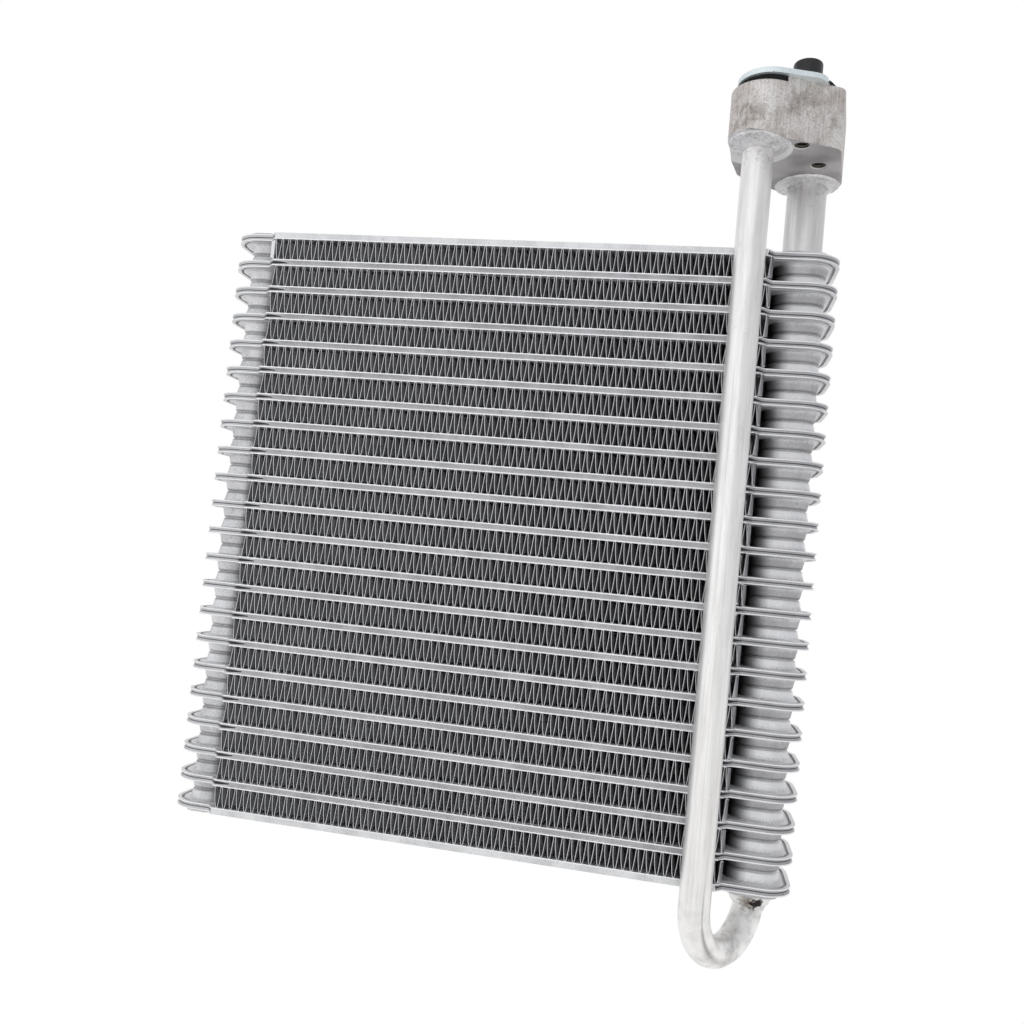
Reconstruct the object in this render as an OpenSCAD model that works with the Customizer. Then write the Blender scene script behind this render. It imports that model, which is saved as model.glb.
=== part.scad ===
// Evaporator core: a stack of stamped plate pairs and folded fins, with tanks at both ends,
// a thin liquid pipe that loops under the core, a wider suction pipe and one block fitting.
// +Z is up the stack, -Y is the front with the liquid pipe, the right tank is at +X.
// X and Y are measured from the middle of the finned area, Z from the bottom sheet's face.

/* [Core] */
// width of the finned area
fin_zone_w = 208.9; // [150:0.1:260]
// depth of the core from front lip to rear lip
core_depth = 46.7; // [44:0.1:60]
// distance from one plate pair to the next
pitch = 11.8; // [10:0.1:16]
// plate pairs in the stack
tube_count = 20; // [20:1:20]
// height of one plate pair
tube_h = 2.9; // [2.4:0.1:4]
// thickness of the stamped plate
plate_t = 0.5; // [0.4:0.05:0.6]

/* [Fins] */
// whole waves in one fin strip
fin_waves = 65; // [20:1:80]
// how far the fins reach into the step at the right tank
fin_over = 2.4; // [0:0.1:2.5]
// thickness of the fin foil
foil_t = 0.12; // [0.08:0.01:0.2]
// length of the flat where a wave meets a plate
crest_w = 0.72; // [0.4:0.02:1]
// fin set back behind the plate lips
fin_setback = 0.4; // [0.2:0.1:2]

/* [Plate edges] */
// width of the outer lip of a plate
lip_w = 1; // [0.8:0.1:1.4]
// width of the seam where two plates touch
seam_w = 1.7; // [1.6:0.1:2.4]
// length of the slanted step from the fins to a tank
step_len = 2.7; // [1:0.1:5]
// length over which the seam runs back towards a tank
seam_run = 6.5; // [3:0.1:12]

/* [Tanks] */
// how far the right tank reaches past the fins
tank_right = 29.2; // [28:0.1:40]
// how far the left tank reaches past the fins
tank_left = 21.9; // [21:0.1:32]
// how far the tank edge lies behind the lip of the fins
tank_setback = 3.2; // [2:0.1:5]
// corner radius of the tank flange
tank_r = 12; // [10:0.1:14]
// flange between the tank edge and the cup wall, front and back
flange_w = 5.2; // [4.8:0.1:7]
// flange beside the cup at the right end
flange_right = 4.1; // [4:0.1:7]
// flange beside the cup at the left end
flange_left = 5.6; // [4:0.1:7]
// lean of the cup wall from flange to joint
cup_draft = 0.8; // [0.2:0.1:1.2]
// bevel of the cup rim at the joint
rim_bevel = 0.6; // [0.3:0.1:0.8]
// width of the rim where two cups touch
rim_w = 0.6; // [0.4:0.1:1]
// gap from the fins to the cup of the right tank
cup_gap_right = 3; // [3:0.1:4]
// gap from the fins to the cup of the left tank
cup_gap_left = 1.6; // [1.4:0.1:2]
// corner radius of the right cup
cup_r_right = 8; // [6:0.1:9]
// corner radius of the left cup
cup_r_left = 6; // [5:0.1:6.4]
// small foot where the cup wall leaves the flange
cup_foot = 0.5; // [0.2:0.1:0.8]
// height of the dome on a tank cover
dome_h = 2.2; // [1.5:0.1:3]

/* [Ends] */
// thickness of the flat sheet over the first and last fin
sheet_t = 2.3; // [1:0.1:4]
// gap between a tank cover and the fins' end sheet
sheet_gap = 0.3; // [0.2:0.05:1]

/* [Liquid pipe] */
// outside diameter of the liquid pipe
liquid_d = 12; // [8:0.5:14]
// wall of the liquid pipe
liquid_wall = 1.2; // [1:0.1:2]
// radius of the bend under the core
bend_r = 19.8; // [19:0.1:24]
// direction of the bend, seen from above and counted from +X
bend_turn = 55.9; // [50:0.1:65]
// drop of the bend's centre below the bottom sheet
bend_drop = 4.2; // [4:0.1:10]

/* [Suction pipe] */
// outside diameter of the suction pipe
suction_d = 16; // [12:0.5:16.5]
// wall of the suction pipe
suction_wall = 1.3; // [1:0.1:2]
// suction pipe axis and liquid inlet beyond the right end of the fins
tank_port_out = 14.8; // [13.5:0.1:16]

/* [Block] */
// height of the block's underside over the tank cover
block_rise = 32.6; // [20:0.1:60]
// height of the block
block_h = 23.8; // [18:0.1:30]
// step down to the left part of the block's top
block_step = 2.2; // [1:0.1:4]
// depth of the milled dish round the liquid pipe
pocket_h = 3.4; // [1:0.1:5]
// depth the pipes go into the block
socket_h = 9; // [6:0.5:11]
// bore of the liquid port in the block's top
liquid_port_d = 9; // [6:0.1:9.5]
// bore of the suction port in the block's top
suction_port_d = 13; // [10:0.1:13.4]
// core diameter of the tapped holes
tap_d = 5; // [4:0.1:5.5]
// countersink diameter of the tapped holes
countersink_d = 6.6; // [5.6:0.1:7]
// radial room between a pipe and its hole
pipe_gap = 0.1; // [0.05:0.05:0.2]

/* [Port cover] */
// thickness of the cover plate
cover_t = 2; // [1.5:0.1:3]
// thickness of the rubber sheet beside the plate
rubber_t = 1.2; // [0.8:0.1:2]
// diameter of the screw head
head_d = 11; // [9:0.1:12]
// height of the screw head
head_h = 6.4; // [5:0.1:12]
// diameter of the screw shank
shank_d = 4.8; // [3.8:0.1:4.8]
// length of the shank in the block
shank_len = 10; // [6:1:14]

/* [Hidden] */
$fn = 64;
fin_h = pitch - tube_h;
half_t = tube_h / 2;
half_p = pitch / 2;
fin_end = fin_zone_w / 2;
lip_y = core_depth / 2;
tank_y = lip_y - tank_setback;
seam_in = lip_w + plate_t + seam_w;
// middle heights of the top pair, the lowest pair and the two end seams
end_t = plate_t + sheet_t;
low_pair_z = end_t + fin_h + half_t;
low_seam_z = low_pair_z - pitch;
top_seam_z = low_pair_z + tube_count * pitch;
// fin wave: outer and inner half widths of a crest
crest_out = crest_w / 2 + foil_t / 2;
crest_in = crest_w / 2 - foil_t / 2;
// pipes and block
liquid_r = liquid_d / 2;
suction_r = suction_d / 2;
port_x = fin_end + tank_port_out;
bend_dx = 2 * bend_r * cos(bend_turn);
bend_dy = 2 * bend_r * sin(bend_turn);
liquid_x = port_x - bend_dx;
liquid_y = -bend_dy;
block_z = top_seam_z + half_t + dome_h + block_rise;
pipe_top = block_z + socket_h;
dome_inset = 0.6;
dome_r = 6;
dome_bevel = 1.2;
// neck round the liquid pipe: height, width at its foot and at half its height, flare and rim
neck_h = 5.6;
neck_w = 6;
neck_waist = 2.8;
neck_flare = 0.7;
neck_rim = 0.8;
collar_h = 2;
collar_w = 2;
screw_room = 0.1;
// cutting shapes reach past the faces they cut
over = 1;
block_top = block_z + block_h;
// places on the block are measured from the liquid pipe; a lobe is [x, y, radius]
block_lobes = [
  [1, -2.1, 13], [26, -0.1, 5],
  [bend_dx - 1.2, bend_dy - 4.3, 14.2], [-1.5, 19.4, 6]
];
pocket = [-1.5, -2.6, 14.3];
pocket_bevel = 3;
hole_front = [15.8, -5.7];
hole_rear = [24.1, 12.1];
countersink_h = 0.8;
step_x = 8.4;
cover_lobes = [[2.4, -3.8, 12.4], [16.5, -4.8, 7.4]];
seal = [2.2, -3, 11.6];
rubber_lobes = [[18.6, -1.8, 7.7], [bend_dx + 2, 6, 7], [bend_dx, bend_dy - 3, 10]];
rubber_gap = 0.3;
// straight sides of an outline cut its circles by this much
hair = 0.01;

function numbered(name, i) = str(name, i < 10 ? "0" : "", i);
function pair_z(i) = low_pair_z + (tube_count - i) * pitch;
function unit(a) = [cos(a), sin(a)];

// outline of a plate pulled in by inset; the step to each tank runs from x = a to b past the fins
function step_pts(reach, a, b, inset) =
  let (cut = inset * tan(atan2(tank_setback, b - a) / 2))
  [
    [reach - inset, 0], [reach - inset, tank_y - tank_r], [reach - tank_r, tank_y - inset],
    [fin_end + b - cut, tank_y - inset], [fin_end + a - cut, lip_y - inset]
  ];

module half_outline(reach, a, b, inset) {
  pts = step_pts(reach, a, b, inset);
  polygon(concat([[0, 0]], pts, [[0, lip_y - inset]]));
  translate([reach - tank_r, tank_y - tank_r]) circle(tank_r - inset);
}

module outline(a, b, inset) {
  for (side = [0, 1]) mirror([0, side]) {
    half_outline(fin_end + tank_right, a, b, inset);
    mirror([1, 0]) half_outline(fin_end + tank_left, a, b, inset);
  }
}

module plate_edge(inset = 0) {
  outline(0, step_len, inset);
}

module seam_edge(inset) {
  outline(-seam_run, 0, inset);
}

// the part of a tank region that lies beyond the end sheet; side = 1 right, -1 left
module tank_side(side) {
  far = fin_zone_w;
  x0 = fin_end + sheet_gap;
  intersection() {
    children();
    translate([side > 0 ? x0 : -x0 - far, -far / 2]) square(far);
  }
}

module seam_ring() {
  difference() {
    seam_edge(lip_w);
    seam_edge(seam_in);
  }
}

module seam_hollow() {
  difference() {
    seam_edge(lip_w + plate_t);
    seam_edge(seam_in - plate_t);
  }
}

module slab(z0, z1) {
  translate([0, 0, z0]) linear_extrude(z1 - z0) children();
}

// a cup stands on a rounded rectangle given as [x0, x1, half depth, corner radius];
// it keeps clear of the tank's end by end and of its front and back by inset
function cup_box(side, end, inset, gap, r) =
  let (reach = fin_end + (side > 0 ? tank_right : tank_left))
  side > 0 ? [fin_end + gap, reach - end, tank_y - inset, r]
           : [end - reach, -fin_end - gap, tank_y - inset, r];

right_cup = cup_box(1, flange_right, flange_w, cup_gap_right, cup_r_right);
left_cup = cup_box(-1, flange_left, flange_w, cup_gap_left, cup_r_left);

module round_box(b, inset) {
  x0 = b[0] + inset;
  x1 = b[1] - inset;
  y1 = b[2] - inset;
  cx = b[0] + b[3];
  dx = b[1] - b[3];
  cy = b[2] - b[3];
  translate([x0, -cy]) square([x1 - x0, 2 * cy]);
  translate([cx, -y1]) square([dx - cx, 2 * y1]);
  for (x = [cx, dx], y = [-cy, cy]) translate([x, y]) circle(b[3] - inset);
}

// sweeps a wall profile round a rounded rectangle; profile x counts outwards from its edge
module sweep_box(b, profile) {
  cx = b[0] + b[3];
  dx = b[1] - b[3];
  cy = b[2] - b[3];
  for (c = [[dx, cy, 0], [cx, cy, 90], [cx, -cy, 180], [dx, -cy, 270]])
    translate([c[0], c[1], 0]) rotate(c[2]) rotate_extrude(angle = 90)
      translate([b[3], 0]) polygon(profile);
  for (c = [[dx, cy, 90, dx - cx], [cx, -cy, 270, dx - cx], [cx, cy, 180, 2 * cy], [dx, -cy, 0, 2 * cy]])
    translate([c[0], c[1], 0]) rotate(c[2]) translate([b[3], 0, 0])
      rotate([90, 0, 0]) mirror([0, 0, 1]) linear_extrude(c[3]) polygon(profile);
}

// wall of a cup from the flange up to the joint with the next plate; inside it is one plain slope
module cup(b) {
  rim = cup_draft + rim_bevel;
  sweep_box(b, [
    [-plate_t, half_t - plate_t], [cup_foot, half_t - plate_t], [cup_foot, half_t],
    [0, half_t + cup_foot], [-cup_draft, half_p - rim_bevel], [-rim, half_p],
    [-rim - rim_w, half_p]
  ]);
}

// one stamped plate with its seam down at z = 0 and its cups up
module plate() {
  slab(0, plate_t) seam_ring();
  slab(plate_t, half_t - plate_t) difference() {
    seam_ring();
    seam_hollow();
  }
  slab(half_t - plate_t, half_t) difference() {
    plate_edge();
    seam_hollow();
    round_box(right_cup, plate_t / 2);
    round_box(left_cup, plate_t / 2);
  }
  cup(right_cup);
  cup(left_cup);
}

module tube(i) {
  color("silver") translate([0, 0, pair_z(i)]) {
    plate();
    mirror([0, 0, 1]) plate();
  }
}

// folded foil: crests at the top and at the bottom in turn, flat where they are brazed
function crest(k) = -fin_end + crest_out
  + k * (fin_zone_w + fin_over - 2 * crest_out) / (2 * fin_waves);
function fold(k, up, z_up, z_down, w_up, w_down) =
  let (top = k % 2 == up, w = top ? w_up : w_down, z = top ? z_up : z_down)
  [[crest(k) - w, z], [crest(k) + w, z]];
function fin_side(upper) = [
  for (k = [0:2 * fin_waves])
    for (p = upper ? fold(k, 0, fin_h, foil_t, crest_out, crest_in)
                   : fold(k, 0, fin_h - foil_t, 0, crest_in, crest_out)) p
];

module fin(i) {
  upper = fin_side(true);
  lower = fin_side(false);
  back = [for (k = [len(lower) - 1:-1:0]) lower[k]];
  depth = core_depth - 2 * fin_setback;
  color("lightgray") translate([0, depth / 2, pair_z(i) + half_t]) rotate([90, 0, 0])
    linear_extrude(depth) polygon(concat(upper, back));
}

// plate over the end fin: flat between the tanks, with seam and cups at both tanks
module end_plate() {
  slab(-half_t, plate_t - half_t) difference() {
    plate_edge();
    for (s = [-1, 1]) end_hollow(s);
    round_box(right_cup, plate_t / 2);
    round_box(left_cup, plate_t / 2);
  }
  for (s = [-1, 1]) {
    slab(plate_t - half_t, -plate_t) difference() {
      tank_side(s) seam_ring();
      end_hollow(s);
    }
    slab(-plate_t, 0) tank_side(s) seam_ring();
  }
  mirror([0, 0, 1]) {
    cup(right_cup);
    cup(left_cup);
  }
}

// hollow under the seam of a tank end, closed beside the end sheet
module end_hollow(side) {
  translate([side * plate_t, 0]) tank_side(side) translate([-side * plate_t, 0]) seam_hollow();
}

// tank cover: seam, lip and closed dome; the skirt closes the side towards the end sheet
module cover(side) {
  clear = seam_in + dome_inset;
  dome = cup_box(side, clear, clear, side > 0 ? cup_gap_right : cup_gap_left, dome_r);
  skirt_x = side > 0 ? fin_end + sheet_gap : -fin_end - sheet_gap - plate_t;
  skirt_y = tank_y - seam_in;
  crown = half_t + dome_h;
  slab(0, plate_t) tank_side(side) seam_ring();
  slab(plate_t, half_t - plate_t) difference() {
    tank_side(side) seam_ring();
    end_hollow(side);
  }
  slab(half_t - plate_t, half_t) difference() {
    tank_side(side) plate_edge();
    end_hollow(side);
    round_box(dome, plate_t / 2);
  }
  slab(plate_t - half_t, half_t - plate_t)
    translate([skirt_x, -skirt_y]) square([plate_t, 2 * skirt_y]);
  sweep_box(dome, [
    [-plate_t, half_t - plate_t], [0, half_t - plate_t], [0, crown - dome_bevel],
    [-dome_bevel, crown], [-dome_bevel - plate_t, crown], [-dome_bevel - plate_t, crown - plate_t],
    [-plate_t, crown - dome_bevel - plate_t / 2]
  ]);
  slab(crown - plate_t, crown) difference() {
    round_box(dome, dome_bevel + plate_t / 2);
    if (side > 0) children();
  }
}

module ring(r_out, r_in, h) {
  difference() {
    cylinder(h, r = r_out);
    translate([0, 0, -over]) cylinder(h + 2 * over, r = r_in);
  }
}

module end_sheet(z) {
  color("gainsboro") translate([-fin_end, -lip_y, z]) cube([fin_zone_w, core_depth, sheet_t]);
}

module top_end_sheet() {
  end_sheet(top_seam_z - half_t + plate_t);
}

module bottom_end_sheet() {
  end_sheet(0);
}

module top_end_plate() {
  color("silver") translate([0, 0, top_seam_z]) end_plate();
}

module bottom_end_plate() {
  color("silver") translate([0, 0, low_seam_z]) mirror([0, 0, 1]) end_plate();
}

module top_left_cover() {
  color("silver") translate([0, 0, top_seam_z]) cover(-1);
}

module bottom_left_cover() {
  color("silver") translate([0, 0, low_seam_z]) mirror([0, 0, 1]) cover(-1);
}

module top_right_cover() {
  color("silver") translate([0, 0, top_seam_z]) {
    cover(1) translate([port_x, 0]) circle(suction_r + pipe_gap);
    translate([port_x, 0, half_t + dome_h]) ring(suction_r + collar_w, suction_r + pipe_gap, collar_h);
  }
}

// the cover under the right tank is drawn down into a neck round the liquid pipe
module bottom_right_cover() {
  base = half_t + dome_h;
  bore = liquid_r + pipe_gap;
  color("silver") translate([0, 0, low_seam_z]) mirror([0, 0, 1]) {
    cover(1) translate([port_x, 0]) circle(bore);
    translate([port_x, 0, base]) rotate_extrude() polygon([
      [bore, 0], [bore + neck_w, 0], [bore + neck_waist, neck_h / 2],
      [bore + neck_flare + neck_rim, neck_h], [bore + neck_flare, neck_h]
    ]);
  }
}

// straight leg in front of the core, half-circle bend below it, short leg up into the tank
module liquid_pipe() {
  leg = low_seam_z + bend_drop;
  color("lightgray") translate([liquid_x, liquid_y, -bend_drop]) rotate(bend_turn) {
    ring(liquid_r, liquid_r - liquid_wall, pipe_top + bend_drop);
    translate([bend_r, 0, 0]) rotate([-90, 0, 0]) rotate_extrude(angle = 180)
      translate([bend_r, 0]) difference() {
        circle(liquid_r);
        circle(liquid_r - liquid_wall);
      }
    translate([2 * bend_r, 0, 0]) ring(liquid_r, liquid_r - liquid_wall, leg);
  }
}

module suction_pipe() {
  color("lightgray") translate([port_x, 0, top_seam_z])
    ring(suction_r, suction_r - suction_wall, pipe_top - top_seam_z);
}

// outline round a ring of lobes: straight sides between neighbouring circles
function tangent_dir(a, b) =
  let (d = [b[0] - a[0], b[1] - a[1]])
  atan2(d[1], d[0]) - acos((a[2] - b[2]) / norm(d));
function on_lobe(c, angle) = [c[0], c[1]] + (c[2] - hair) * unit(angle);
function tangents(lobes) = [
  for (k = [0:len(lobes) - 1])
    let (a = lobes[k], b = lobes[(k + 1) % len(lobes)], n = tangent_dir(a, b))
    each [on_lobe(a, n), on_lobe(b, n)]
];

module lobe_outline(lobes) {
  polygon(tangents(lobes));
  for (c = lobes) translate([c[0], c[1]]) circle(c[2]);
}

module left_of_step() {
  wide = 2 * bend_dx;
  translate([step_x - wide, -wide]) square([wide, 2 * wide]);
}

module place(at) {
  translate([liquid_x + at[0], liquid_y + at[1], 0]) children();
}

module tapped_hole(at) {
  place(at) translate([0, 0, block_z]) {
    translate([0, 0, -over]) cylinder(block_h + 2 * over, d = tap_d);
    translate([0, 0, -over]) cylinder(over, d = countersink_d);
    cylinder(countersink_h, d1 = countersink_d, d2 = tap_d);
  }
}

module pipe_socket(at, r, port) {
  place(at) translate([0, 0, block_z - over]) {
    cylinder(socket_h + over, r = r + pipe_gap);
    cylinder(block_h + 2 * over, d = port);
  }
}

module block_fitting() {
  color("darkgray") difference() {
    place([0, 0]) translate([0, 0, block_z]) linear_extrude(block_h) lobe_outline(block_lobes);
    place([0, 0]) translate([0, 0, block_top - block_step])
      linear_extrude(block_step + over) left_of_step();
    place(pocket) translate([0, 0, block_z]) {
      translate([0, 0, -over]) cylinder(over, r = pocket[2]);
      cylinder(pocket_h, r1 = pocket[2], r2 = pocket[2] - pocket_bevel);
    }
    pipe_socket([0, 0], liquid_r, liquid_port_d);
    pipe_socket([bend_dx, bend_dy], suction_r, suction_port_d);
    tapped_hole(hole_front);
    tapped_hole(hole_rear);
  }
}

module cover_plate() {
  color("aliceblue") difference() {
    place([0, 0]) translate([0, 0, block_top]) linear_extrude(cover_t) lobe_outline(cover_lobes);
    place(hole_front) translate([0, 0, block_top - over])
      cylinder(cover_t + 2 * over, d = shank_d + 2 * screw_room);
  }
}

// rubber under the plate over the liquid port, and a thin sheet of it over the suction port
module port_seal() {
  color("black") {
    place(seal) translate([0, 0, block_top - block_step]) linear_extrude(block_step) difference() {
      circle(seal[2]);
      translate([step_x - rubber_gap - seal[0], -seal[2]]) square(2 * seal[2]);
    }
    place([0, 0]) translate([0, 0, block_top]) linear_extrude(rubber_t) difference() {
      lobe_outline(rubber_lobes);
      lobe_outline([for (c = cover_lobes) [c[0], c[1], c[2] + rubber_gap]]);
    }
  }
}

module cover_screw() {
  color("dimgray") place(hole_front) {
    translate([0, 0, block_top + cover_t]) cylinder(head_h, d = head_d);
    translate([0, 0, block_top - shank_len]) cylinder(shank_len + cover_t, d = shank_d);
  }
}

for (i = [1:tube_count + 1]) fin(i);
for (i = [1:tube_count]) tube(i);
top_end_plate();
bottom_end_plate();
top_end_sheet();
bottom_end_sheet();
top_left_cover();
top_right_cover();
bottom_left_cover();
bottom_right_cover();
liquid_pipe();
suction_pipe();
block_fitting();
cover_plate();
port_seal();
cover_screw();
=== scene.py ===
import math
import random
import bmesh
import bpy
from mathutils import Matrix, Vector


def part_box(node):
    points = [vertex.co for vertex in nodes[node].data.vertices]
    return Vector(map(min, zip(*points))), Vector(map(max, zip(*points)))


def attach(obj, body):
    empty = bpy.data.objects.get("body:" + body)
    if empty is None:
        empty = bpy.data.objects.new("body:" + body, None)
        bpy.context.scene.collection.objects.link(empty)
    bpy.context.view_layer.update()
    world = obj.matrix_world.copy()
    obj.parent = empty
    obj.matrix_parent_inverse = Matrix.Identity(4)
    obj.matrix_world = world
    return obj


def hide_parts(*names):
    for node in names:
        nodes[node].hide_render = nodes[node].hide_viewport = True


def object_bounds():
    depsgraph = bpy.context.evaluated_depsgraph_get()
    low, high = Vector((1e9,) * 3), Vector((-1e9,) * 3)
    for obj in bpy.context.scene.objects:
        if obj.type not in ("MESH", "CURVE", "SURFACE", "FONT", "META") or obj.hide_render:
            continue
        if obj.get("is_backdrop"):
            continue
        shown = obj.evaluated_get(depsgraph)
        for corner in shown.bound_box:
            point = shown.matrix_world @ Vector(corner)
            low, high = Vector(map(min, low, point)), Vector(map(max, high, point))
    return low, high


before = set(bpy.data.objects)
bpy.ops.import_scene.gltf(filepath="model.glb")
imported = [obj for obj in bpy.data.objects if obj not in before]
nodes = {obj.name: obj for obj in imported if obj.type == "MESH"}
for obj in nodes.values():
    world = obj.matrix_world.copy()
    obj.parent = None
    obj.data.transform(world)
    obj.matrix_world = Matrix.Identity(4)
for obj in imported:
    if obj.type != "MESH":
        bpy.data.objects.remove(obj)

cad_low, cad_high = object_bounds()

# Plate pairs. Each is two stamped aluminium plates, clad with braze metal and joined in a furnace
# at the seam between their lips. Their cups meet in V grooves and form the tanks at both ends.
# A name that ends in _MM is in millimetres, as shader values are; other sizes are in metres.

MM = 0.001
TUBES = [f"tube_{i:02d}" for i in range(1, 21)]
top_pair, next_pair = (sum(corner[2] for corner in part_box(name)) / 2 for name in TUBES[:2])
PITCH_MM = (top_pair - next_pair) / MM
PAIR_MM = top_pair / MM
TOP_SEAM_MM = PAIR_MM + PITCH_MM
FIN_END_MM = -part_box("fin_01")[0][0] / MM
LIP_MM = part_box("tube_01")[1][1] / MM
SEAM_RUN_MM = 6.5
INNER_MM, OUTER_MM = 0.95, 1.45
RIM_BEVEL_MM = 0.6


def colour(code):
    """sRGB hex to linear RGBA."""
    channels = [int(code[i:i + 2], 16) / 255 for i in (1, 3, 5)]
    linear = [c / 12.92 if c <= 0.04045 else ((c + 0.055) / 1.055) ** 2.4 for c in channels]
    return (*linear, 1.0)


def add(tree, kind, inputs=None, **settings):
    """Adds a node with its settings; an input is a value or the socket that feeds it."""
    node = tree.nodes.new(kind)
    for name, value in settings.items():
        setattr(node, name, value)
    for key, value in (inputs or {}).items():
        if isinstance(value, bpy.types.NodeSocket):
            tree.links.new(value, node.inputs[key])
        else:
            node.inputs[key].default_value = value
    return node


def new_material(name):
    """A material with an empty tree, and object coordinates in millimetres."""
    material = bpy.data.materials.new(name)
    material.use_nodes = True
    tree = material.node_tree
    tree.nodes.clear()
    place = add(tree, "ShaderNodeTexCoord")
    mm = add(tree, "ShaderNodeVectorMath", {0: place.outputs["Object"], "Scale": 1 / MM},
             operation="SCALE").outputs[0]
    return material, tree, mm


def tint(tree, factor, below, above):
    """Colour socket that goes from one colour to another with a factor socket."""
    mix = add(tree, "ShaderNodeMix", {0: factor}, data_type="RGBA")
    for slot, value in ((6, below), (7, above)):
        if isinstance(value, str):
            mix.inputs[slot].default_value = colour(value)
        else:
            tree.links.new(value, mix.inputs[slot])
    return mix.outputs[2]


def ramp(tree, value, start, end, low=0.0, high=1.0):
    """Socket that goes from low to high while the value goes from start to end."""
    return add(tree, "ShaderNodeMapRange", {0: value, 1: start, 2: end, 3: low, 4: high}).outputs[0]


def calc(tree, operation, *values):
    """Socket of a sum, product or other operation on sockets and numbers."""
    return add(tree, "ShaderNodeMath", dict(enumerate(values)), operation=operation).outputs[0]


def product(tree, first, *others):
    """Socket of all the factors multiplied."""
    for factor in others:
        first = calc(tree, "MULTIPLY", first, factor)
    return first


def height_in_pair(tree, z):
    """Height over the middle of the nearest pair, from minus to plus half a pitch."""
    wrapped = calc(tree, "WRAP", z, PAIR_MM + PITCH_MM / 2, PAIR_MM - PITCH_MM / 2)
    return calc(tree, "SUBTRACT", wrapped, PAIR_MM)


def plate_paint(tree, mm, tone):
    """What the eye sees on a brazed plate, painted as colour: painted shade in the seam between the inner
    faces of its two sheets and in the slot where the seam runs back to a tank, painted highlights on
    the lips along the front and round the tanks, and dark braze with painted shade in the V joints of
    the cups. The right tank has painted shade under its lips, painted light over them, and painted
    shade in the corner beside the fins."""
    x, y, z = add(tree, "ShaderNodeSeparateXYZ", {0: mm}).outputs
    side = calc(tree, "ABSOLUTE", x)
    above = height_in_pair(tree, z)
    off = calc(tree, "ABSOLUTE", above)
    # Painted shade in the seam between the lips of each pair.
    tone = tint(tree, ramp(tree, off, 0.6, INNER_MM, 0.4, 0.0), tone, "#727175")

    # Painted shade in the slot where the seam runs back from the front to a tank.
    opening = product(tree, ramp(tree, side, FIN_END_MM - SEAM_RUN_MM, FIN_END_MM - 1.0),
                      ramp(tree, side, FIN_END_MM + 0.2, FIN_END_MM + 0.8, 1.0, 0.0))
    slot = product(tree, calc(tree, "SQRT", opening), ramp(tree, off, 0.75, INNER_MM, 0.9, 0.0))
    tone = tint(tree, slot, tone, "#161618")

    # Painted highlight on the faces of the lips, here along the front.
    lip_highlight = ramp(tree, off, 0.85, 1.0)
    front = ramp(tree, calc(tree, "ABSOLUTE", y), LIP_MM - 0.3, LIP_MM - 0.1)
    tone = tint(tree, product(tree, front, lip_highlight), tone, "#FAFAFC")

    # Dark braze and painted shade in the V joints of the cups.
    joint = calc(tree, "ABSOLUTE", calc(tree, "SUBTRACT", off, PITCH_MM / 2 - RIM_BEVEL_MM))
    tone = tint(tree, ramp(tree, joint, 0.1, 0.55, 0.45, 0.0), tone, "#4A4A4D")

    # Right tank: painted shade under the lips and painted light over them.
    right = ramp(tree, x, FIN_END_MM + 1, FIN_END_MM + 2)
    painted_shade_under_lips = ramp(tree, above, -1.6, -3.2, 0.0, 0.38)
    tone = tint(tree, product(tree, right, painted_shade_under_lips), tone, "#6F6E72")
    painted_light_over_lips = ramp(tree, above, 2.0, 3.4, 0.0, 0.6)
    tone = tint(tree, product(tree, right, painted_light_over_lips), tone, "#FFFFFF")

    # Painted highlight on the lips round the tanks.
    lips = product(tree, lip_highlight, ramp(tree, off, OUTER_MM - 0.05, OUTER_MM + 0.15, 0.7, 0.0),
                   ramp(tree, side, FIN_END_MM, FIN_END_MM + 1))
    tone = tint(tree, lips, tone, "#FFFFFF")

    # Painted shade in the right tank's corner beside the fins.
    corner = product(tree, ramp(tree, x, FIN_END_MM, FIN_END_MM + 1),
                     ramp(tree, x, FIN_END_MM + 4, FIN_END_MM + 12, 0.95, 0.0),
                     ramp(tree, off, OUTER_MM + 0.15, OUTER_MM + 0.55),
                     ramp(tree, z, 0.3, 1.0),
                     ramp(tree, z, TOP_SEAM_MM, TOP_SEAM_MM + 1, 1.0, 0.0))
    return tint(tree, corner, tone, "#101012")


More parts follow.
